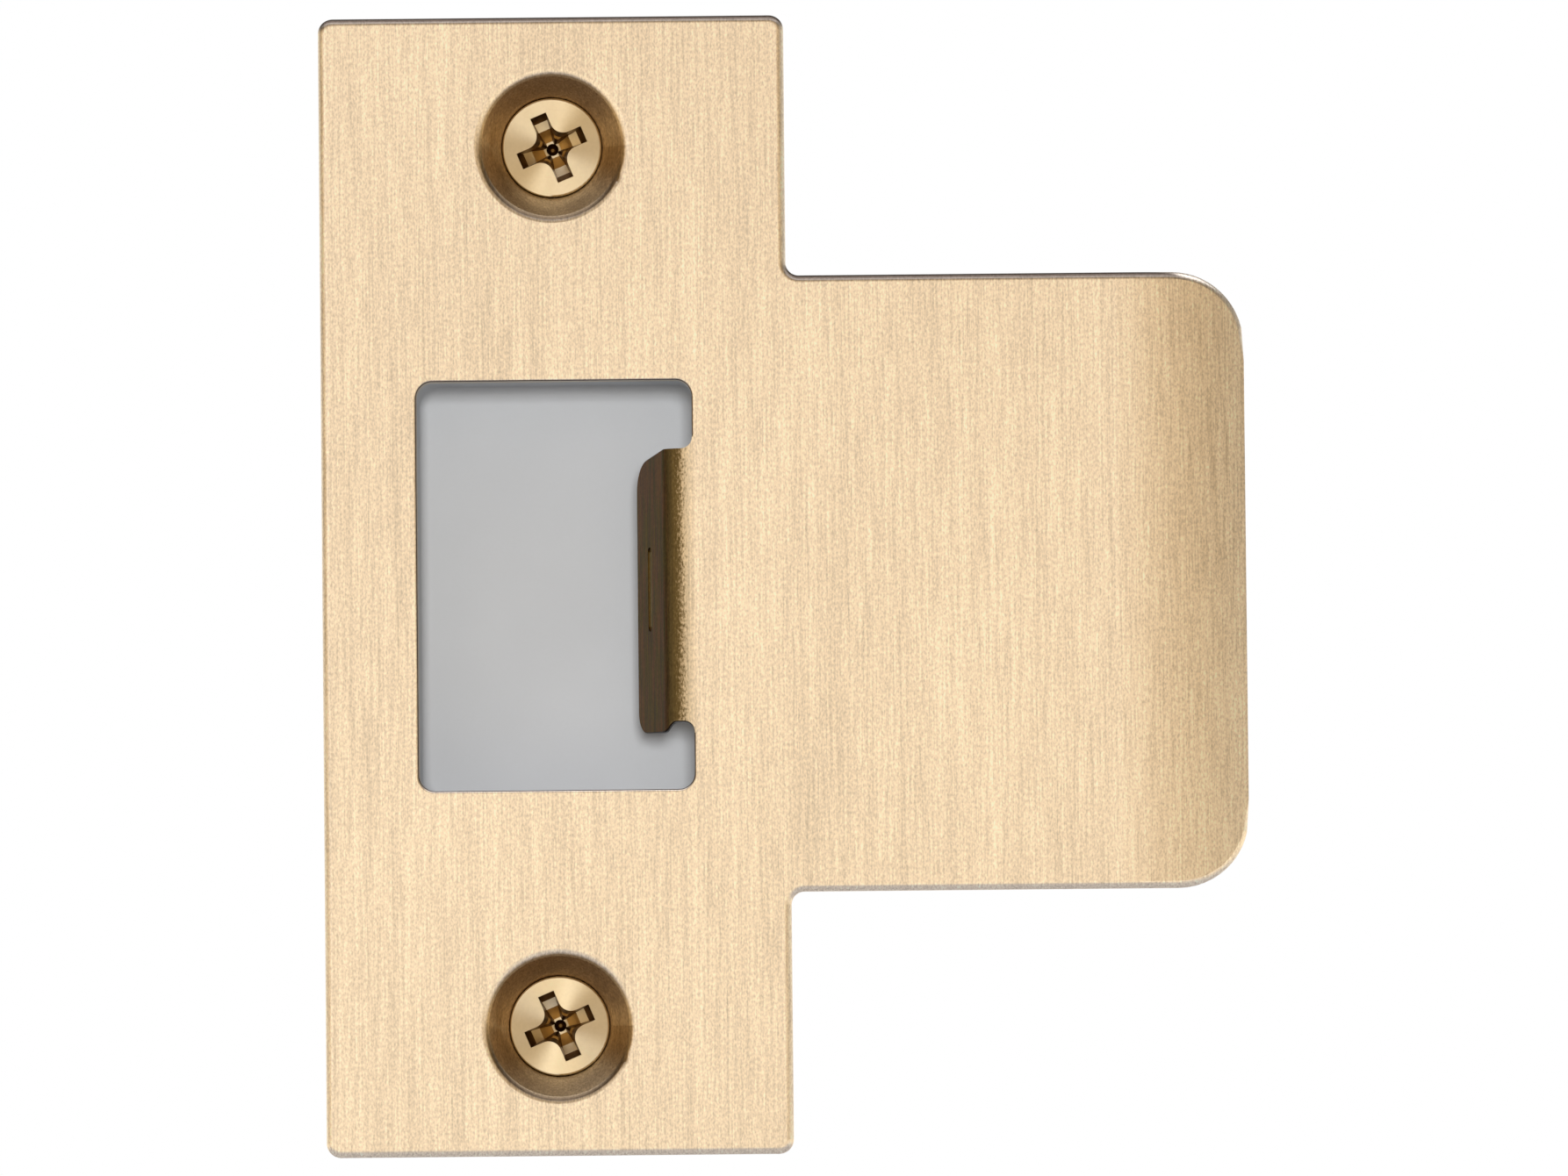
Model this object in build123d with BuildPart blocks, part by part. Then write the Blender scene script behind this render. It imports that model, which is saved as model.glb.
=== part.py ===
from build123d import *
import os
from math import cos, radians, sin, tan

# T-strike plate with an extended curved lip, its dust box and its two screws.
# The frame has +Z up the jamb, +X out along the lip and +Y into the jamb. The origin is
# midway between the two screws, on the back of the dust box flange, which seats on the jamb.

# Strike plate, one stamping of brass sheet
sheet = 1.6
plate_width = 28.575
plate_height = 69.85
plate_corner_radius = 0.9
screw_spacing = 53.975
lip_reach = 42.4
lip_height = 37.8
lip_bend_radius = 18.5
lip_bend_angle = 25.0
lip_corner_radius = 4.4
lip_root_radius = 0.8
rolled_edge_radius = 0.45

# Latch opening and the tang that is bent back from its right edge
opening_width = 16.9
opening_height = 25.1
opening_corner_radius = 1.0
opening_edge_radius = 0.15
tang_outer_radius = 2.0
tang_bend_angle = 68.0
tang_length = 4.4
tang_top = 8.34
tang_bottom = -9.05
tang_shoulder_drop = 0.85
tang_upper_corner_radius = 2.0
tang_lower_corner_radius = 1.3
tang_rim_radius = 0.1
tang_root_fillet = 0.7
relief_top = -8.42
relief_fillet = 0.65
relief_flat = 0.4
relief_ramp = 0.85
groove_length = 5.2
groove_width = 0.6
groove_depth = 0.08
groove_height = -0.2
groove_from_tip = 2.15

# Formed countersinks, pressed through the sheet
countersink_half_angle = 41.0
countersink_mouth_radius = 4.48
countersink_mouth_fillet = 0.6
screw_hole_radius = 2.05
dimple_wall = 1.4
dimple_land = 0.1

# Dust box, moulded in plastic with 1 degree of draft
flange_thickness = 1.2
flange_width = 27.2
flange_height = 68.4
flange_corner_radius = 2.0
dimple_clearance_radius = 5.2
pocket_width = 17.9
pocket_height = 26.4
pocket_depth = 14.0
box_wall = 1.2
box_corner_radius = 1.6
box_floor_radius = 0.6
box_root_fillet = 0.6
draft = 1.0

# Countersunk wood screws, 3.5 mm by 25.4 mm
screw_length = 25.4
screw_head_radius = 3.05
screw_rim_radius = 0.12
screw_shank_radius = 1.75
screw_core_radius = 1.2
screw_plain_length = 8.6
thread_pitch = 1.41
thread_base = 0.66
thread_crest = 0.12
thread_radius = 1.72
thread_sink = 0.38
thread_turns = 8.6
thread_overlap = 0.5
taper_turns = 1.8
point_length = 4.6
tip_radius = 0.1
seat_gap = 0.05

# Cross recess, as depth, reach, half width of a wing and radius between wings
recess_sections = (
    (0, 2.15, 0.52, 0.8),
    (0.9, 1.76, 0.42, 0.55),
    (1.08, 1.22, 0.37, 0.35),
    (1.75, 0.5, 0.22, 0.14),
)
pit_radius = 0.5
pit_top_depth = 1.5
pit_depth = 2.3
recess_turn = 23.0

# How far a cut runs past a surface, and how near an edge lies to the place it is picked by
margin = 0.05

# Places worked out from the sizes above
plate_back_y = -flange_thickness
plate_front_y = plate_back_y - sheet
front_plane = Plane(origin=(0, plate_front_y, 0), x_dir=(1, 0, 0), z_dir=(0, -1, 0))
lip_bend_start = lip_reach - lip_bend_radius * sin(radians(lip_bend_angle))
opening_edge_x = opening_width / 2
countersink_slope = tan(radians(countersink_half_angle))
countersink_depth = (countersink_mouth_radius - screw_hole_radius) / countersink_slope
seat_offset = seat_gap / cos(radians(countersink_half_angle))
head_depth = (countersink_mouth_radius - seat_offset - screw_head_radius) / countersink_slope
head_top_y = plate_front_y + head_depth - screw_rim_radius
tang_inner_radius = tang_outer_radius - sheet
opening_edge_fillet_top = tang_top + tang_root_fillet
opening_edge_notch_bottom = relief_top - relief_fillet
trim_limit = opening_height / 2 - opening_corner_radius
trim_depth = tang_outer_radius + tang_length + sheet
from_base = (Align.CENTER, Align.CENTER, Align.MIN)
screw_heights = {"upper_screw": screw_spacing / 2, "lower_screw": -screw_spacing / 2}

os.makedirs("parts", exist_ok=True)


def bend_point(centre, radius, angle):
    """A point on a sheet bent back about centre, turned by angle from the flat sheet."""
    return (centre[0] + radius * sin(radians(angle)), centre[1] - radius * cos(radians(angle)))


# Strike plate: the flat sheet with the lip curved back at its free end
with BuildPart() as strike_plate:
    lip_centre = (lip_bend_start, plate_front_y + lip_bend_radius)
    inner_lip_radius = lip_bend_radius - sheet
    with BuildSketch(Plane.XY):
        with BuildLine():
            front = Line((-plate_width / 2, plate_front_y), (lip_bend_start, plate_front_y))
            curve = CenterArc(lip_centre, lip_bend_radius, -90, lip_bend_angle)
            tip = Line(curve @ 1, bend_point(lip_centre, inner_lip_radius, lip_bend_angle))
            CenterArc(lip_centre, inner_lip_radius, -90, lip_bend_angle)
            back = Line((lip_bend_start, plate_back_y), (-plate_width / 2, plate_back_y))
            Line(back @ 1, front @ 0)
        make_face()
    extrude(amount=plate_height / 2, both=True)

    # Outline of the blank, seen from the front
    lip_width = lip_reach + plate_width / 2
    with BuildSketch(Plane.XZ) as outline:
        Rectangle(plate_width, plate_height)
        with Locations((lip_reach - lip_width / 2, 0)):
            Rectangle(lip_width, lip_height)
        fillet(outline.vertices().group_by(Axis.X)[-1], lip_corner_radius)
        fillet(outline.vertices().group_by(Axis.X)[0], plate_corner_radius)
        fillet(outline.vertices().group_by(Axis.X)[2].sort_by(Axis.Y)[1:3], lip_root_radius)
        fillet(outline.vertices().group_by(Axis.Y)[0].sort_by(Axis.X)[-1], plate_corner_radius)
        fillet(outline.vertices().group_by(Axis.Y)[-1].sort_by(Axis.X)[-1], plate_corner_radius)
    extrude(amount=lip_reach, both=True, mode=Mode.INTERSECT)

    # The die rolls the front edge over. It is one tangent chain, so one of its edges takes it all
    left_edges = strike_plate.edges().filter_by(Axis.Z).group_by(Axis.X)[0]
    fillet(left_edges.sort_by(Axis.Y)[0], rolled_edge_radius)

    # Latch opening
    with BuildSketch(front_plane):
        RectangleRounded(opening_width, opening_height, opening_corner_radius)
    extrude(amount=-sheet, mode=Mode.SUBTRACT)
    opening_front = strike_plate.faces().sort_by(Axis.Y)[0].inner_wires()[0]
    fillet(opening_front.edges(), opening_edge_radius)

    # Tang: a tab of the same sheet, bent back from the right edge of the opening. It runs
    # a little way into the plate, where it fills the opening's rolled edge.
    tang_centre = (opening_edge_x, plate_front_y + tang_outer_radius)
    tang_root_x = opening_edge_x + 2 * opening_edge_radius
    tang_run_x = tang_length * cos(radians(tang_bend_angle))
    tang_run_y = tang_length * sin(radians(tang_bend_angle))
    outer_bend_end = bend_point(tang_centre, tang_outer_radius, -tang_bend_angle)
    inner_bend_end = bend_point(tang_centre, tang_inner_radius, -tang_bend_angle)
    outer_tip = (outer_bend_end[0] - tang_run_x, outer_bend_end[1] + tang_run_y)
    inner_tip = (inner_bend_end[0] - tang_run_x, inner_bend_end[1] + tang_run_y)
    tang_middle = (opening_edge_fillet_top + opening_edge_notch_bottom) / 2
    tang_height = opening_edge_fillet_top - opening_edge_notch_bottom
    with BuildSketch(Plane.XY.offset(tang_middle)):
        with BuildLine():
            Line((tang_root_x, plate_front_y), (opening_edge_x, plate_front_y))
            CenterArc(tang_centre, tang_outer_radius, -90, -tang_bend_angle)
            Polyline(outer_bend_end, outer_tip, inner_tip, inner_bend_end)
            CenterArc(tang_centre, tang_inner_radius, -90, -tang_bend_angle)
            back_edge = (tang_root_x, plate_back_y)
            Polyline((opening_edge_x, plate_back_y), back_edge, (tang_root_x, plate_front_y))
        make_face()
    extrude(amount=tang_height / 2, both=True)

    # Ends of the tang, trimmed as seen from the front: a fillet above, a relief notch below
    with BuildSketch(front_plane):
        with BuildLine():
            fillet_foot = (opening_edge_x - tang_root_fillet, tang_top)
            top_fillet = RadiusArc((opening_edge_x, opening_edge_fillet_top), fillet_foot, tang_root_fillet)
            Polyline(fillet_foot, (0, tang_top), (0, trim_limit), (opening_edge_x, trim_limit), top_fillet @ 0)
        make_face()
        with BuildLine():
            notch_foot = (opening_edge_x - relief_fillet, relief_top)
            notch_start = (opening_edge_x, opening_edge_notch_bottom)
            notch = RadiusArc(notch_start, notch_foot, -relief_fillet)
            ramp_top = (notch_foot[0] - relief_flat, relief_top)
            ramp_foot = (ramp_top[0] - relief_ramp, tang_bottom)
            ramp_middle_x = (ramp_top[0] + ramp_foot[0]) / 2
            Line(notch_foot, ramp_top)
            Bezier(ramp_top, (ramp_middle_x, relief_top), (ramp_middle_x, tang_bottom), ramp_foot)
            Polyline(ramp_foot, (0, tang_bottom), (0, -trim_limit), (opening_edge_x, -trim_limit), notch_start)
        make_face()
    extrude(amount=-trim_depth, mode=Mode.SUBTRACT)

    # The tang's flat narrows from the bend to its free end, which has rounded corners
    outward = (-sin(radians(tang_bend_angle)), -cos(radians(tang_bend_angle)), 0)
    flat_plane = Plane(origin=(*outer_tip, 0), x_dir=(0, 0, 1), z_dir=outward)
    with BuildSketch(flat_plane):
        with BuildLine():
            Polyline(
                (tang_top - tang_shoulder_drop, 0),
                (tang_top, -tang_length),
                (tang_top + sheet, -tang_length),
                (tang_top + sheet, 0),
                close=True,
            )
        make_face()
    extrude(amount=-sheet, mode=Mode.SUBTRACT)
    tip_face = strike_plate.faces().sort_by(Axis.Y)[-1]
    tip_corners = tip_face.edges().filter_by(Axis.Z, reverse=True).sort_by(Axis.Z)
    fillet(tip_corners[0], tang_lower_corner_radius)
    tip_face = strike_plate.faces().sort_by(Axis.Y)[-1]
    fillet(tip_face.edges().filter_by(Axis.Z, reverse=True).sort_by(Axis.Z)[-1], tang_upper_corner_radius)

    # The rim of the tang's flat is rounded, except where it meets the bend
    flat_face = strike_plate.faces().filter_by(flat_plane).sort_by(Axis.X)[0]
    fillet(flat_face.edges().sort_by(Axis.Y)[1:], tang_rim_radius)

    # Coined groove along the tang's outer side
    with BuildSketch(flat_plane):
        with Locations((groove_height, -groove_from_tip)):
            SlotOverall(groove_length, groove_width)
    extrude(amount=-groove_depth, mode=Mode.SUBTRACT)

    # Formed countersinks: each is a cone pressed through the sheet, with a boss behind it
    boss_offset = dimple_wall / cos(radians(countersink_half_angle))
    boss_end_radius = screw_hole_radius + boss_offset
    boss_height = countersink_depth + dimple_land - sheet
    boss_root_radius = boss_end_radius + (countersink_depth - sheet) * countersink_slope
    for height in screw_heights.values():
        with Locations(Location((0, plate_back_y, height), (-90, 0, 0))):
            Cone(boss_root_radius, boss_end_radius, boss_height, align=from_base)
        with Locations(Location((0, plate_front_y, height), (-90, 0, 0))):
            Cone(
                countersink_mouth_radius,
                screw_hole_radius,
                countersink_depth,
                align=from_base,
                mode=Mode.SUBTRACT,
            )
            Cylinder(screw_hole_radius, pocket_depth, align=from_base, mode=Mode.SUBTRACT)
    front_circles = strike_plate.edges().filter_by(GeomType.CIRCLE)
    mouths = front_circles.filter_by(lambda edge: abs(edge.radius - countersink_mouth_radius) < margin)
    fillet(mouths, countersink_mouth_fillet)
strike_plate.part.label = "strike_plate"
export_step(strike_plate.part, "parts/strike_plate.step")


# Dust box: a flange with holes that clear the dimples, and a drafted pocket behind the opening
with BuildPart() as dust_box:
    flange_plane = Plane(origin=(0, plate_back_y, 0), x_dir=(1, 0, 0), z_dir=(0, 1, 0))
    pocket_run = pocket_depth - sheet
    with BuildSketch(flange_plane):
        RectangleRounded(flange_width, flange_height, flange_corner_radius)
        with GridLocations(0, screw_spacing, 1, 2):
            Circle(dimple_clearance_radius, mode=Mode.SUBTRACT)
    extrude(amount=flange_thickness)
    outer_width = pocket_width + 2 * box_wall
    outer_height = pocket_height + 2 * box_wall
    with BuildSketch(flange_plane):
        RectangleRounded(outer_width, outer_height, box_corner_radius + box_wall)
    extrude(amount=pocket_run + box_wall, taper=draft)
    floor_face = dust_box.faces().sort_by(Axis.Y)[-1]
    fillet(floor_face.edges(), box_floor_radius + box_wall)
    root_edges = dust_box.edges().filter_by_position(Axis.Y, -margin, margin)
    box_root = root_edges.filter_by_position(Axis.Z, -outer_height / 2, outer_height / 2)
    fillet(box_root.filter_by_position(Axis.X, -outer_width / 2, outer_width / 2), box_root_fillet)
    with BuildSketch(flange_plane):
        RectangleRounded(pocket_width, pocket_height, box_corner_radius)
    extrude(amount=pocket_run, taper=draft, mode=Mode.SUBTRACT)
    pocket_floor = dust_box.faces().filter_by(Plane.XZ).sort_by(Axis.Y)[-2]
    fillet(pocket_floor.edges(), box_floor_radius)
dust_box.part.label = "dust_box"
export_step(dust_box.part, "parts/dust_box.step")


def make_screw(height):
    """A countersunk cross-recess wood screw whose axis lies along +Y at this height."""
    axis_plane = Plane.XY.offset(height)
    head_plane = Plane(
        origin=(0, head_top_y, height),
        x_dir=(cos(radians(recess_turn)), 0, sin(radians(recess_turn))),
        z_dir=(0, -1, 0),
    )
    rim_y = head_top_y + screw_rim_radius
    cone_end_y = rim_y + (screw_head_radius - screw_shank_radius) / countersink_slope
    plain_end_y = head_top_y + screw_plain_length
    tip_y = head_top_y + screw_length
    point_y = tip_y - point_length
    thread_start_y = plain_end_y - thread_overlap
    thread_end_y = thread_start_y + thread_turns * thread_pitch
    with BuildPart() as screw:
        # Head, plain shank, threaded core and point
        with BuildSketch(axis_plane):
            with BuildLine():
                rim_centre = (screw_head_radius - screw_rim_radius, rim_y)
                Line((0, head_top_y), (rim_centre[0], head_top_y))
                CenterArc(rim_centre, screw_rim_radius, -90, 90)
                Polyline(
                    (screw_head_radius, rim_y),
                    (screw_shank_radius, cone_end_y),
                    (screw_shank_radius, plain_end_y),
                    (screw_core_radius, plain_end_y + thread_pitch),
                    (screw_core_radius, point_y),
                    (tip_radius, tip_y),
                    (0, tip_y),
                    (0, head_top_y),
                )
            make_face()
        revolve(axis=Axis((0, 0, height), (0, 1, 0)))

        # Thread: one helix that starts inside the plain shank
        with BuildLine() as helix:
            Helix(
                thread_pitch,
                thread_turns * thread_pitch,
                screw_core_radius,
                center=(0, thread_start_y, height),
                direction=(0, 1, 0),
            )
        start = helix.line @ 0
        radial = (start.X, 0, start.Z - height)
        crest_rise = thread_radius - screw_core_radius
        with BuildSketch(Plane(origin=start, x_dir=radial, z_dir=helix.line % 0)):
            with BuildLine():
                Polyline(
                    (-thread_sink, -thread_base / 2),
                    (0, -thread_base / 2),
                    (crest_rise, -thread_crest / 2),
                    (crest_rise, thread_crest / 2),
                    (0, thread_base / 2),
                    (-thread_sink, thread_base / 2),
                    close=True,
                )
            make_face()
        sweep(path=helix.line, is_frenet=True)

        # The crest tapers away over the last turns before the point
        taper_end_y = thread_end_y + thread_base
        taper_start_y = taper_end_y - taper_turns * thread_pitch
        with BuildSketch(axis_plane):
            with BuildLine():
                Polyline(
                    (0, head_top_y - margin),
                    (screw_head_radius + margin, head_top_y - margin),
                    (screw_head_radius + margin, rim_y + margin),
                    (screw_shank_radius + margin, cone_end_y + margin),
                    (screw_shank_radius + margin, taper_start_y),
                    (screw_core_radius + margin, taper_end_y),
                    (screw_core_radius + margin, tip_y + margin),
                    (0, tip_y + margin),
                    close=True,
                )
            make_face()
        revolve(axis=Axis((0, 0, height), (0, 1, 0)), mode=Mode.INTERSECT)

        # Cross recess: steep ends on the wings, sloping floors, and a conical pit in the middle
        for depth, reach, wing, corner in recess_sections:
            with BuildSketch(head_plane.offset(-depth)) as cross:
                Rectangle(2 * reach, 2 * wing)
                Rectangle(2 * wing, 2 * reach)
                fillet(cross.vertices().sort_by_distance((0, 0, 0))[:4], corner)
        loft(ruled=True, mode=Mode.SUBTRACT)
        with BuildSketch(axis_plane):
            with BuildLine():
                Polyline(
                    (0, head_top_y + pit_top_depth),
                    (pit_radius, head_top_y + pit_top_depth),
                    (tip_radius, head_top_y + pit_depth),
                    (0, head_top_y + pit_depth),
                    close=True,
                )
            make_face()
        revolve(axis=Axis((0, 0, height), (0, 1, 0)), mode=Mode.SUBTRACT)
    return screw.part


# Both screws are the same, one above and one below the opening
for name, height in screw_heights.items():
    screw = make_screw(height)
    screw.label = name
    export_step(screw, f"parts/{name}.step")
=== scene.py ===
"""A T-strike plate in satin brass, with its dust box and two screws, in a pale studio."""

from collections import namedtuple
from math import cos, pi, radians, sin

import bmesh
import bpy
from mathutils import Matrix, Vector


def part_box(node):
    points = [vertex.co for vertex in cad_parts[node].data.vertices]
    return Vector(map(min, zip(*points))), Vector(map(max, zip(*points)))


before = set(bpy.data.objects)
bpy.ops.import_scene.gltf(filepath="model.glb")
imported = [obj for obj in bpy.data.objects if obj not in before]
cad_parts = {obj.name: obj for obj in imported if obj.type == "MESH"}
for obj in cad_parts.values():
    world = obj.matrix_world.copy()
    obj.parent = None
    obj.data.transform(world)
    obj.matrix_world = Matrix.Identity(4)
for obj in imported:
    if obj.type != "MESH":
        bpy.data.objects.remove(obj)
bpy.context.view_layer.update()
scene = bpy.context.scene
scene.view_settings.view_transform = "Standard"

MM = 0.001

# Camera: its lens in millimetres, its distances in metres and its angles in degrees. It aims at
# the middle of the plate and its lip, moved right and up by these millimetres
FOCAL_LENGTH = 224.95
SENSOR_WIDTH = 36.0
CAMERA_CLIP = (0.05, 20)
CAMERA_DISTANCE = 0.600
CAMERA_ELEVATION = -2.0
CAMERA_AZIMUTH = 0.0
CAMERA_ROLL = -0.56
AIM_RIGHT = -0.05
AIM_UP = -0.30

# Studio floor, in metres. Between two radii it fades from a lit grey to a white or tinted glow.
# The camera sees one floor, with a little glow of its own, and the metal reflects another
FLOOR_DROP = 0.075
FLOOR_RADIUS = 3.6
FLOOR_SIDES = 96
FLOOR_FADE_SEEN = (0.25, 1.6)
FLOOR_FADE_REFLECTED = (0.12, 0.38)
FLOOR_FAR_SEEN = 1.0
FLOOR_FAR_REFLECTED = 1.15
FLOOR_GREY_SEEN = (0.8, 0.8, 0.8)
FLOOR_GREY_REFLECTED = (0.62, 0.62, 0.62)
FLOOR_TINT = (1.0, 0.90, 0.75)
FLOOR_GLOW = 0.5
WHITE = (1.0, 1.0, 1.0)

# Studio light: the colour at each angle, in degrees, from the middle of the bright panel
PANEL_AZIMUTH = -15
PANEL = (
    (0, (1.50, 1.52, 1.62)),
    (10, (1.28, 1.23, 1.19)),
    (25, (0.87, 0.68, 0.46)),
    (45, (0.44, 0.29, 0.12)),
    (62, (0.26, 0.18, 0.08)),
    (85, (0.56, 0.51, 0.44)),
    (110, (0.95, 0.95, 0.95)),
    (180, (1.0, 1.0, 1.0)),
)

# It dims as it rises and towards the right. High up are a soft light in front and a dark ceiling
# behind. Each range is part of a direction of length 1: how far it rises, or goes right or back
RISE = (0.12, 0.5)
RISE_DIMMING = 0.6
RIGHT = (0.70, 0.97)
RIGHT_DIMMING = 0.4
ABOVE = (2.10, 2.20, 2.60)
ABOVE_RISE = (0.55, 0.90)
CEILING = (0.22, 0.20, 0.18)
CEILING_RISE = (0.15, 0.50)
CEILING_BACK = (0.10, 0.45)

# A small lamp in front lights the floor of the pocket: degrees, metres and watts
LAMP_AZIMUTH = 1.0
LAMP_ELEVATION = 1.2
LAMP_DISTANCE = 0.8
LAMP_SIZE = 0.07
LAMP_POWER = 3.95

# Regions of the plate, in millimetres from the point midway between the screws: the latch
# opening, the height of the tang in it, and the countersinks, each between two heights
OPENING_HALF_WIDTH = 9.6
OPENING_HALF_HEIGHT = 13.2
TANG_HALF_HEIGHT = 9.1
SEAT_HALF_WIDTH = 6.0
SEAT_LOW = 20.0
SEAT_HIGH = 33.0

# The tang, in millimetres: where along X its root's, bend's and own painted shades start and are whole,
# and how ragged the middle one's edge is. Its bend ends at this X and depth behind the front
ROOT_FADE = (8.8, 8.0)
BEND_FADE = (8.05, 7.45)
TANG_FADE = (7.1, 6.6)
RAGGEDNESS = 1.4
TANG_BEND_END = (6.6, 1.25)
TANG_ANGLE = radians(68)

# The groove along the tang's outer side. Its painted highlight lies between two depths under that side
GROOVE_HEIGHT = -0.2
GROOVE_HALF_LENGTH = 2.3
GROOVE_FROM_BEND = 2.25
GROOVE_HALF_WIDTH = 0.35
GROOVE_TOP = (0.02, 0.05)
GROOVE_BOTTOM = (0.5, 0.4)

# Depths behind the front, in millimetres, where the painted shades of the brass on the opening's walls, the
# countersinks and the rims start and are whole
WALL_START = (0.0, 0.06)
WALL_FADE = (0.15, 0.5)
SEAT_START = 0.01
SEAT_WHOLE_ABOVE = 0.13
SEAT_WHOLE_BELOW = 0.06
SEAT_EDGE_DEPTH = (0.28, 0.10)
UPPER_RIM_DEPTH = (0.6, 0.4)

# How far a surface turns up, or towards the tang's edges, from -1 to 1, where the painted shades change
TANG_RIM_TURN = (0.15, 0.6)
SEAT_SIDES_TURN = (-0.7, -0.1)
SEAT_FLOOR_TURN = (0.1, 0.7)
SEAT_START_TURN = (-0.1, 0.2)
SEAT_EDGE_TURN = (0.03, 0.35)
UPPER_RIM_TURN = (0.05, 0.6)

# Textures of the brushed brass, as features to a millimetre along X, Y and Z
HAIRLINES = {"per_mm": (8.0, 8.0, 0.22), "detail": 3.0, "roughness": 0.6}
STROKES = {"per_mm": (1.1, 1.1, 0.035)}
GRAIN = {"per_mm": (9.0, 9.0, 5.0)}
STAINS = {"per_mm": (2.6, 2.6, 0.35), "detail": 3.0}
CLOUDS = {"per_mm": (0.12, 0.12, 0.04), "detail": 1.0}

# How much they change the tone, the roughness and the height, and where the stains change colour
HAIRLINE_TONE = 0.84
STROKE_TONE = 0.25
GRAIN_TONE = 0.98
CLOUD_TONE = 0.14
TANG_HAIRLINE_TONE = 1.6
STAIN_CHANGE = (0.40, 0.60)
BRUSHED_ROUGHNESS = 0.36
BRUSHED_ROUGHNESS_CHANGE = 0.4
BRUSHED_ANISOTROPY = 0.55
BRUSHED_HEIGHT = 0.004
GRAIN_HEIGHT = 0.6

# Screws, in millimetres: rings turned on the head, and the recess, which narrows down to a pit
RINGS_PER_MM = 7
RECESS_START = (0.02, 0.10)
RECESS_RADIUS = 2.35
RECESS_NARROWING = 0.45
PIT_START = (1.7, 2.0)

# How far a surface of the head turns from the front, as its normal's Y, where the recess's painted shades
# change
SLOPE_TURN = (-0.985, -0.91)
STEEP_TURN = (-0.62, -0.42)

# A painted highlight: the bright sectors of a turned screw head lie at this angle and opposite it, with
# painted shade between them
SECTOR_TURN = radians(108)
SECTOR_FADE = (0.1, 0.8)

# Textures of the screws, as features to a millimetre
SPECKS = {"scale": 5.0, "detail": 3.0}
SPECK_TONE = 0.12
SPECK_HEIGHT = 2.0
SMEARS = {"scale": 0.8}
SMEAR_TONE = 0.16
POLISHED_ROUGHNESS = 0.35
POLISHED_ROUGHNESS_CHANGE = 0.5
POLISHED_ANISOTROPY = 0.95
POLISHED_HEIGHT = 0.0004

# Textures of the plastic, as features to a millimetre
SPARKS = {"scale": 5.0}
SPARK_TONE = 0.03
SPARK_HEIGHT = 0.006
SHADES = {"scale": 0.15}
SHADE_TONE = 0.06
PLASTIC_ROUGHNESS = 0.55
PLASTIC_ROUGHNESS_CHANGE = 0.3

# Colours, linear
BRASS = (0.915, 0.782, 0.60)
# Painted shade and reflection on the tang: darker at the bend's root, then the bend, then the flat, whose
# two browns also carry real stains
ROOT_PAINTED_SHADE = (0.62, 0.50, 0.33)
BEND_PAINTED_SHADE = (0.20, 0.147, 0.062)
TANG_BROWN_STAIN_AND_SHADE = (0.180, 0.080, 0.016)
TANG_OLIVE = (0.128, 0.082, 0.006)
# Painted shade on the tang's rims
TANG_RIM = (0.045, 0.028, 0.018)
# Painted highlight in the tang's groove
GROOVE_HIGHLIGHT = (0.31, 0.235, 0.10)
# Painted shade on the opening's walls: dark at the front, a duller brass deeper in
WALL_PAINTED_SHADE = (0.13, 0.085, 0.06)
WALL_BRASS = (0.45, 0.36, 0.24)
# Painted shade on the upward-facing rims of the plate
UPPER_RIM = (0.12, 0.088, 0.062)
# Painted shade on the countersinks, by which way the cone faces, and on their lower edges
SEAT_SHADE = (0.30, 0.19, 0.09)
SEAT_SIDES = (0.48, 0.33, 0.165)
SEAT_FLOOR = (0.37, 0.27, 0.145)
SEAT_EDGE = (0.17, 0.118, 0.067)
# Painted highlight and painted shade of the screw heads' sectors
SCREW_BRASS = (1.0, 0.86, 0.60)
SCREW_SHADE = (0.64, 0.49, 0.28)
# Painted shade in the screws' recesses: a deeper gold on the gentle slopes, dark on the steep walls and in
# the pit
RECESS_GOLD = (0.90, 0.66, 0.33)
RECESS_PAINTED_SHADE = (0.20, 0.115, 0.035)
GREY = (0.458, 0.473, 0.490)

# Places of the colour sockets on a mix node, whose names repeat those of its other sockets
MIX_COLOUR_A = 6
MIX_COLOUR_B = 7
MIX_COLOUR = 2

# Where a point of the plate lies, in millimetres, and how it faces
Spot = namedtuple("Spot", "place x depth z normal upward")


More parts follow.
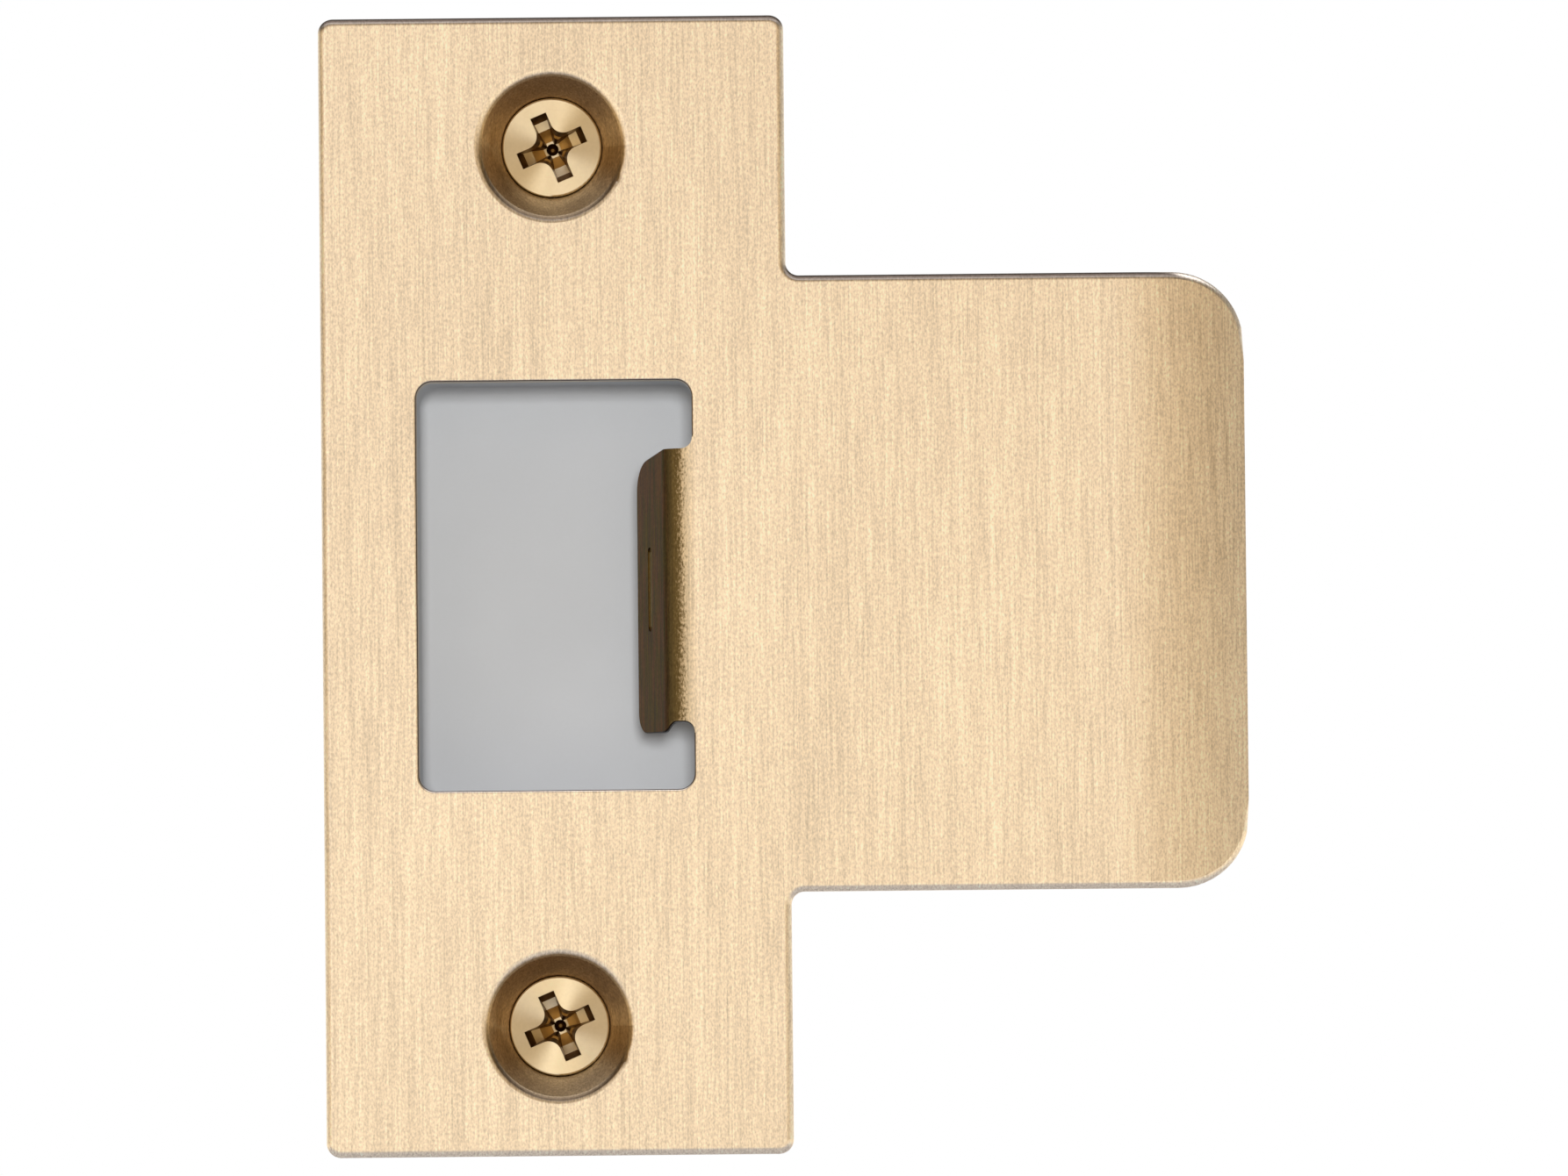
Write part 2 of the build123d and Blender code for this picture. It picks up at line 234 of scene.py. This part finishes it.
class Graph:
    """A node tree, with short calls for the nodes that the materials share."""

    def __init__(self, tree):
        self.tree = tree
        tree.nodes.clear()

    def node(self, kind, inputs=(), **settings):
        made = self.tree.nodes.new(kind)
        for name, value in settings.items():
            setattr(made, name, value)
        for name, value in dict(inputs).items():
            self.set(made.inputs[name], value)
        return made

    def set(self, socket, value):
        if isinstance(value, bpy.types.NodeSocket):
            self.tree.links.new(value, socket)
        elif isinstance(value, tuple) and len(value) == 3 and socket.type == "RGBA":
            socket.default_value = (*value, 1.0)
        else:
            socket.default_value = value

    def math(self, operation, *values):
        made = self.node("ShaderNodeMath", operation=operation)
        for i, value in enumerate(values):
            self.set(made.inputs[i], value)
        return made.outputs[0]

    def vector(self, operation, *values, result="Vector"):
        made = self.node("ShaderNodeVectorMath", operation=operation)
        for i, value in enumerate(values):
            self.set(made.inputs[i], value)
        return made.outputs[result]

    def dot(self, a, b):
        return self.vector("DOT_PRODUCT", a, b, result="Value")

    def length(self, value):
        return self.vector("LENGTH", value, result="Value")

    def parts(self, value):
        """The X, Y and Z of a vector, by name."""
        return self.node("ShaderNodeSeparateXYZ", {"Vector": value}).outputs

    def step(self, value, start, end):
        """0 on the near side of start and 1 past end, with a smooth change between them."""
        limits = {"Value": value, "From Min": start, "From Max": end}
        return self.node("ShaderNodeMapRange", limits, interpolation_type="SMOOTHSTEP").outputs["Result"]

    def noise(self, place, scale, detail=2.0, roughness=0.5):
        inputs = {"Vector": place, "Scale": scale, "Detail": detail, "Roughness": roughness}
        return self.node("ShaderNodeTexNoise", inputs).outputs["Fac"]

    def streaks(self, place, per_mm, **settings):
        """Noise with this many features to a millimetre along X, Y and Z."""
        return self.noise(self.vector("MULTIPLY", place, per_mm), scale=1.0, **settings)

    def centred(self, noise):
        """A noise value, which lies about 0.5, moved to lie about 0."""
        return self.math("SUBTRACT", noise, 0.5)

    def mix(self, factor, a, b):
        """The colour a where the factor is 0, and b where it is 1."""
        inputs = {"Factor": factor, MIX_COLOUR_A: a, MIX_COLOUR_B: b}
        return self.node("ShaderNodeMix", inputs, data_type="RGBA").outputs[MIX_COLOUR]

    def product(self, *values):
        result = values[0]
        for value in values[1:]:
            result = self.math("MULTIPLY", result, value)
        return result

    def invert(self, value):
        return self.math("SUBTRACT", 1.0, value)

    def between(self, factor, a, b):
        """The number a where the factor is 0, and b where it is 1."""
        return self.math("MULTIPLY_ADD", factor, b - a, a)

    def within(self, value, limit):
        """1 where the value is nearer to 0 than the limit, and 0 elsewhere."""
        return self.math("LESS_THAN", self.math("ABSOLUTE", value), limit)

    def tint(self, colour, amount):
        """colour times amount, a grey factor."""
        inputs = {0: colour, "Scale": amount}
        return self.node("ShaderNodeVectorMath", inputs, operation="SCALE").outputs["Vector"]

    def wear(self, value, amount):
        """A noise value turned into a factor near 1 that varies by amount."""
        return self.math("MULTIPLY_ADD", self.centred(value), amount, 1.0)

    def millimetres(self):
        """The place on the piece, in millimetres of the frame."""
        return self.tint(self.node("ShaderNodeTexCoord").outputs["Object"], 1 / MM)

    def normal(self):
        return self.node("ShaderNodeTexCoord").outputs["Normal"]

    def seen(self):
        """1 for what the camera sees itself, and 0 for what the object reflects."""
        return self.node("ShaderNodeLightPath").outputs["Is Camera Ray"]

    def surface(self, height, distance, **inputs):
        """The material's shader, with a bump whose height is in millimetres of distance."""
        bump = self.node("ShaderNodeBump", {"Strength": 1.0, "Distance": distance * MM, "Height": height})
        shader = self.node("ShaderNodeBsdfPrincipled", {"Normal": bump.outputs["Normal"]})
        for name, value in inputs.items():
            self.set(shader.inputs[name.replace("_", " ")], value)
        self.node("ShaderNodeOutputMaterial", {"Surface": shader.outputs["BSDF"]})


def new_material(name):
    material = bpy.data.materials.new(name)
    material.use_nodes = True
    return material, Graph(material.node_tree)


def tang_stains_and_shade(graph, spot, colour, part, hairlines, grain):
    """The tang is painted dark round its bend and on its flat, with a ragged edge, as painted shade and
    reflection; its two browns also mark real stains, and its rim gets a darker painted shade.
    """
    colour = graph.mix(graph.product(part, graph.step(spot.x, *ROOT_FADE)), colour, ROOT_PAINTED_SHADE)
    ragged = graph.math("MULTIPLY_ADD", graph.centred(grain), RAGGEDNESS, spot.x)
    colour = graph.mix(graph.product(part, graph.step(ragged, *BEND_FADE)), colour, BEND_PAINTED_SHADE)
    stains = graph.streaks(spot.place, **STAINS)
    browns = graph.mix(graph.step(stains, *STAIN_CHANGE), TANG_BROWN_STAIN_AND_SHADE, TANG_OLIVE)
    stained_and_shaded = graph.tint(browns, graph.wear(hairlines, TANG_HAIRLINE_TONE))
    colour = graph.mix(graph.product(part, graph.step(spot.x, *TANG_FADE)), colour, stained_and_shaded)

    # Painted shade: the tang is darker at its rims, where its surface turns up, down or towards its free
    # end
    along = (-cos(TANG_ANGLE), sin(TANG_ANGLE), 0)
    edgeward = graph.math("MAXIMUM", graph.math("ABSOLUTE", spot.upward), graph.dot(spot.normal, along))
    return graph.mix(graph.product(part, graph.step(edgeward, *TANG_RIM_TURN)), colour, TANG_RIM)


def groove_highlight(graph, spot, colour, part, front_y):
    """A painted highlight: the groove in the tang's outer side is painted a paler gold."""
    bend_end = (TANG_BEND_END[0], TANG_BEND_END[1] + front_y / MM, 0)
    past_bend = graph.vector("SUBTRACT", spot.place, bend_end)
    along = graph.dot(past_bend, (-cos(TANG_ANGLE), sin(TANG_ANGLE), 0))
    below = graph.dot(past_bend, (sin(TANG_ANGLE), cos(TANG_ANGLE), 0))
    groove = graph.product(
        part,
        graph.within(graph.math("SUBTRACT", spot.z, GROOVE_HEIGHT), GROOVE_HALF_LENGTH),
        graph.within(graph.math("SUBTRACT", along, GROOVE_FROM_BEND), GROOVE_HALF_WIDTH),
        graph.step(below, *GROOVE_TOP),
        graph.step(below, *GROOVE_BOTTOM),
    )
    return graph.mix(groove, colour, GROOVE_HIGHLIGHT)


def seat_painted_shade(graph, spot, colour, part):
    """Painted shade on a countersink: brown, darkest where its cone faces down and lightest where it faces
    sideways, with a darker painted shade on its lower edge.
    """
    brown = graph.mix(graph.step(spot.upward, *SEAT_SIDES_TURN), SEAT_SHADE, SEAT_SIDES)
    brown = graph.mix(graph.step(spot.upward, *SEAT_FLOOR_TURN), brown, SEAT_FLOOR)
    edge = graph.product(graph.step(spot.upward, *SEAT_EDGE_TURN), graph.step(spot.depth, *SEAT_EDGE_DEPTH))
    brown = graph.mix(edge, brown, SEAT_EDGE)
    lower = graph.step(spot.upward, *SEAT_START_TURN)
    whole = graph.between(lower, SEAT_WHOLE_ABOVE, SEAT_WHOLE_BELOW)
    return graph.mix(graph.product(part, graph.step(spot.depth, SEAT_START, whole)), colour, brown)


def satin_brass(front_y):
    """Brass brushed up and down on the front, with painted shade on the tang, the opening's walls, the
    countersinks and the upper rims, and a painted highlight in the tang's groove.
    """
    material, graph = new_material("satin_brass")
    place = graph.millimetres()
    parts = graph.parts(place)
    normal = graph.normal()
    depth = graph.math("SUBTRACT", parts["Y"], front_y / MM)
    spot = Spot(place, parts["X"], depth, parts["Z"], normal, graph.parts(normal)["Z"])

    # The latch opening, whose right edge is the tang, and the countersinks
    opening = graph.product(
        graph.within(spot.x, OPENING_HALF_WIDTH),
        graph.within(spot.z, OPENING_HALF_HEIGHT),
    )
    left = graph.math("LESS_THAN", spot.x, 0.0)
    wall = graph.math("MAXIMUM", left, graph.invert(graph.within(spot.z, TANG_HALF_HEIGHT)))
    tang = graph.product(opening, graph.invert(wall))
    seat = graph.product(
        graph.within(spot.x, SEAT_HALF_WIDTH),
        graph.within(spot.z, SEAT_HIGH),
        graph.invert(graph.within(spot.z, SEAT_LOW)),
    )

    hairlines = graph.streaks(place, **HAIRLINES)
    grain = graph.streaks(place, **GRAIN)
    colour = tang_stains_and_shade(graph, spot, BRASS, tang, hairlines, grain)
    colour = groove_highlight(graph, spot, colour, tang, front_y)
    # Painted shade on the opening's walls, dark at the front and fading deeper in
    wall_colour = graph.mix(graph.step(depth, *WALL_FADE), WALL_PAINTED_SHADE, WALL_BRASS)
    colour = graph.mix(graph.product(opening, wall, graph.step(depth, *WALL_START)), colour, wall_colour)
    colour = seat_painted_shade(graph, spot, colour, seat)
    # Painted shade on the upward-facing rims of the plate's edges, away from the opening and the
    # countersinks
    rim = graph.product(
        graph.invert(seat),
        graph.invert(opening),
        graph.step(spot.upward, *UPPER_RIM_TURN),
        graph.step(depth, *UPPER_RIM_DEPTH),
    )
    colour = graph.mix(rim, colour, UPPER_RIM)

    tone = graph.product(
        graph.wear(hairlines, HAIRLINE_TONE),
        graph.wear(graph.streaks(place, **STROKES), STROKE_TONE),
        graph.wear(grain, GRAIN_TONE),
        graph.wear(graph.streaks(place, **CLOUDS), CLOUD_TONE),
    )
    graph.surface(
        graph.math("ADD", hairlines, graph.product(grain, GRAIN_HEIGHT)),
        BRUSHED_HEIGHT,
        Metallic=1.0,
        Base_Color=graph.tint(colour, tone),
        Roughness=graph.product(graph.wear(hairlines, BRUSHED_ROUGHNESS_CHANGE), BRUSHED_ROUGHNESS),
        Anisotropic=BRUSHED_ANISOTROPY,
        Tangent=graph.node("ShaderNodeTangent", direction_type="RADIAL", axis="Z").outputs["Tangent"],
    )
    return material


def polished_brass(name, centre, head_y):
    """Bright plated brass, turned in rings on the head, with a painted highlight in two sectors of the head
    and painted shade in the recess, darkest on its steep walls and in its pit.
    """
    material, graph = new_material(name)
    place = graph.millimetres()
    flat = graph.vector("MULTIPLY", graph.vector("SUBTRACT", place, tuple(centre / MM)), (1.0, 0.0, 1.0))
    radius = graph.length(flat)
    outward = graph.vector("NORMALIZE", flat)
    depth = graph.math("SUBTRACT", graph.parts(place)["Y"], head_y / MM)
    facing = graph.parts(graph.normal())["Y"]

    # Painted highlight in two opposite sectors of the head, and painted shade between them
    sideways = graph.dot(outward, (cos(SECTOR_TURN), 0, sin(SECTOR_TURN)))
    sector = graph.product(sideways, sideways)
    colour = graph.mix(graph.step(sector, *SECTOR_FADE), SCREW_SHADE, SCREW_BRASS)
    cone = graph.math("MULTIPLY_ADD", depth, RECESS_NARROWING, radius)
    recess = graph.product(graph.step(depth, *RECESS_START), graph.math("LESS_THAN", cone, RECESS_RADIUS))
    # Painted shade in the recess, by how its surfaces face and how deep they lie
    colour = graph.mix(graph.product(recess, graph.step(facing, *SLOPE_TURN)), colour, RECESS_GOLD)
    shaded_steep = graph.math("MAXIMUM", graph.step(facing, *STEEP_TURN), graph.step(depth, *PIT_START))
    colour = graph.mix(graph.product(shaded_steep, recess), colour, RECESS_PAINTED_SHADE)

    rings = graph.math("SINE", graph.product(radius, 2 * pi * RINGS_PER_MM))
    specks = graph.noise(place, **SPECKS)
    smears = graph.noise(place, **SMEARS)
    tone = graph.product(graph.wear(specks, SPECK_TONE), graph.wear(smears, SMEAR_TONE))
    graph.surface(
        graph.math("ADD", rings, graph.product(specks, SPECK_HEIGHT)),
        POLISHED_HEIGHT,
        Metallic=1.0,
        Base_Color=graph.tint(colour, tone),
        Roughness=graph.product(graph.wear(smears, POLISHED_ROUGHNESS_CHANGE), POLISHED_ROUGHNESS),
        Anisotropic=POLISHED_ANISOTROPY,
        Tangent=graph.vector("CROSS_PRODUCT", outward, (0.0, 1.0, 0.0)),
    )
    return material


def grey_plastic():
    """Moulded grey plastic with a fine spark-eroded texture."""
    material, graph = new_material("grey_plastic")
    place = graph.millimetres()
    sparks = graph.noise(place, **SPARKS)
    shades = graph.noise(place, **SHADES)
    tone = graph.product(graph.wear(sparks, SPARK_TONE), graph.wear(shades, SHADE_TONE))
    graph.surface(
        sparks,
        SPARK_HEIGHT,
        Base_Color=graph.tint(GREY, tone),
        Roughness=graph.product(graph.wear(shades, PLASTIC_ROUGHNESS_CHANGE), PLASTIC_ROUGHNESS),
    )
    return material


def dress(node, material):
    """Gives a CAD node its material."""
    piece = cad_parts[node]
    piece.data.materials.clear()
    piece.data.materials.append(material)
    return piece


def direction(azimuth, elevation):
    a, e = radians(azimuth), radians(elevation)
    return Vector((sin(a) * cos(e), -cos(a) * cos(e), sin(e)))


def add_camera(target):
    data = bpy.data.cameras.new("camera")
    data.sensor_width = SENSOR_WIDTH
    data.lens = FOCAL_LENGTH
    data.clip_start, data.clip_end = CAMERA_CLIP
    camera = bpy.data.objects.new("camera", data)
    scene.collection.objects.link(camera)
    back = direction(CAMERA_AZIMUTH, CAMERA_ELEVATION)
    upright = (-back).to_track_quat("-Z", "Y").to_matrix()
    turn = upright @ Matrix.Rotation(radians(CAMERA_ROLL), 3, "Z")
    camera.matrix_world = Matrix.Translation(target + back * CAMERA_DISTANCE) @ turn.to_4x4()
    scene.camera = camera


def panel_colour(graph, way):
    """The colour of the studio in a direction, by its angle from the middle of the bright panel."""
    from_panel = graph.math("ARCCOSINE", graph.dot(way, tuple(direction(PANEL_AZIMUTH, 0))))
    ramp = graph.node("ShaderNodeValToRGB", {"Fac": graph.math("DIVIDE", from_panel, pi)})
    elements = ramp.color_ramp.elements
    while len(elements) < len(PANEL):
        elements.new(0.5)
    for element, (angle, colour) in zip(elements, PANEL):
        element.position = angle / 180
        element.color = (*colour, 1.0)
    return ramp.outputs["Color"]


def add_world():
    """A studio seen by the metal: bright in front, dim beside that, and a white surround for the camera."""
    world = bpy.data.worlds.new("studio")
    scene.world = world
    world.use_nodes = True
    graph = Graph(world.node_tree)
    way = graph.vector("NORMALIZE", graph.node("ShaderNodeTexCoord").outputs["Generated"])
    parts = graph.parts(way)
    dim = graph.product(
        graph.between(graph.step(parts["Z"], *RISE), 1.0, 1.0 - RISE_DIMMING),
        graph.between(graph.step(parts["X"], *RIGHT), 1.0, 1.0 - RIGHT_DIMMING),
    )
    colour = graph.tint(panel_colour(graph, way), dim)
    behind = graph.step(parts["Y"], *CEILING_BACK)
    above = graph.product(graph.step(parts["Z"], *ABOVE_RISE), graph.invert(behind))
    colour = graph.mix(above, colour, ABOVE)
    colour = graph.mix(graph.product(graph.step(parts["Z"], *CEILING_RISE), behind), colour, CEILING)

    studio = graph.node("ShaderNodeBackground", {"Color": colour})
    surround = graph.node("ShaderNodeBackground", {"Color": WHITE})
    pair = {0: graph.seen(), 1: studio.outputs[0], 2: surround.outputs[0]}
    mixed = graph.node("ShaderNodeMixShader", pair)
    graph.node("ShaderNodeOutputWorld", {"Surface": mixed.outputs[0]})


def add_floor(height):
    """A wide pale floor that fades into the white surround."""
    mesh = bpy.data.meshes.new("floor")
    shape = bmesh.new()
    bmesh.ops.create_circle(shape, cap_ends=True, segments=FLOOR_SIDES, radius=FLOOR_RADIUS)
    shape.to_mesh(mesh)
    shape.free()
    floor = bpy.data.objects.new("floor", mesh)
    floor.location.z = height
    scene.collection.objects.link(floor)

    material, graph = new_material("floor")
    seen = graph.seen()
    start, end = (graph.between(seen, *pair) for pair in zip(FLOOR_FADE_REFLECTED, FLOOR_FADE_SEEN))
    fade = graph.step(graph.length(graph.node("ShaderNodeTexCoord").outputs["Object"]), start, end)
    grey = graph.mix(seen, FLOOR_GREY_REFLECTED, FLOOR_GREY_SEEN)
    lit = graph.node("ShaderNodeBsdfDiffuse", {"Color": grey})
    glow = graph.node("ShaderNodeEmission", {"Color": WHITE, "Strength": graph.product(seen, FLOOR_GLOW)})
    near = graph.node("ShaderNodeAddShader", {0: lit.outputs[0], 1: glow.outputs[0]})
    tint = graph.mix(seen, FLOOR_TINT, WHITE)
    strength = graph.between(seen, FLOOR_FAR_REFLECTED, FLOOR_FAR_SEEN)
    far = graph.node("ShaderNodeEmission", {"Color": tint, "Strength": strength})
    mixed = graph.node("ShaderNodeMixShader", {0: fade, 1: near.outputs[0], 2: far.outputs[0]})
    graph.node("ShaderNodeOutputMaterial", {"Surface": mixed.outputs[0]})
    mesh.materials.append(material)


def add_pocket_lamp(target, pocket):
    """A soft square lamp in front that lights only the piece with the pocket."""
    data = bpy.data.lights.new("pocket_lamp", "AREA")
    data.size = LAMP_SIZE
    data.energy = LAMP_POWER
    lamp = bpy.data.objects.new("pocket_lamp", data)
    scene.collection.objects.link(lamp)
    out = direction(LAMP_AZIMUTH, LAMP_ELEVATION)
    turn = out.to_track_quat("Z", "Y").to_matrix()
    lamp.matrix_world = Matrix.Translation(target + out * LAMP_DISTANCE) @ turn.to_4x4()
    lamp.visible_camera = False
    lit = bpy.data.collections.new("pocket_lamp_lights")
    lit.objects.link(pocket)
    lamp.light_linking.receiver_collection = lit


plate_low, plate_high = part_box("strike_plate")
front = Vector(((plate_low.x + plate_high.x) / 2, plate_low.y, (plate_low.z + plate_high.z) / 2))

dress("strike_plate", satin_brass(plate_low.y))
dust_box = dress("dust_box", grey_plastic())
for name in ("upper_screw", "lower_screw"):
    low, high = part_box(name)
    dress(name, polished_brass(name + "_brass", (low + high) / 2, low.y))

add_camera(front + Vector((AIM_RIGHT, 0, AIM_UP)) * MM)
add_world()
add_floor(plate_low.z - FLOOR_DROP)
add_pocket_lamp(front, dust_box)
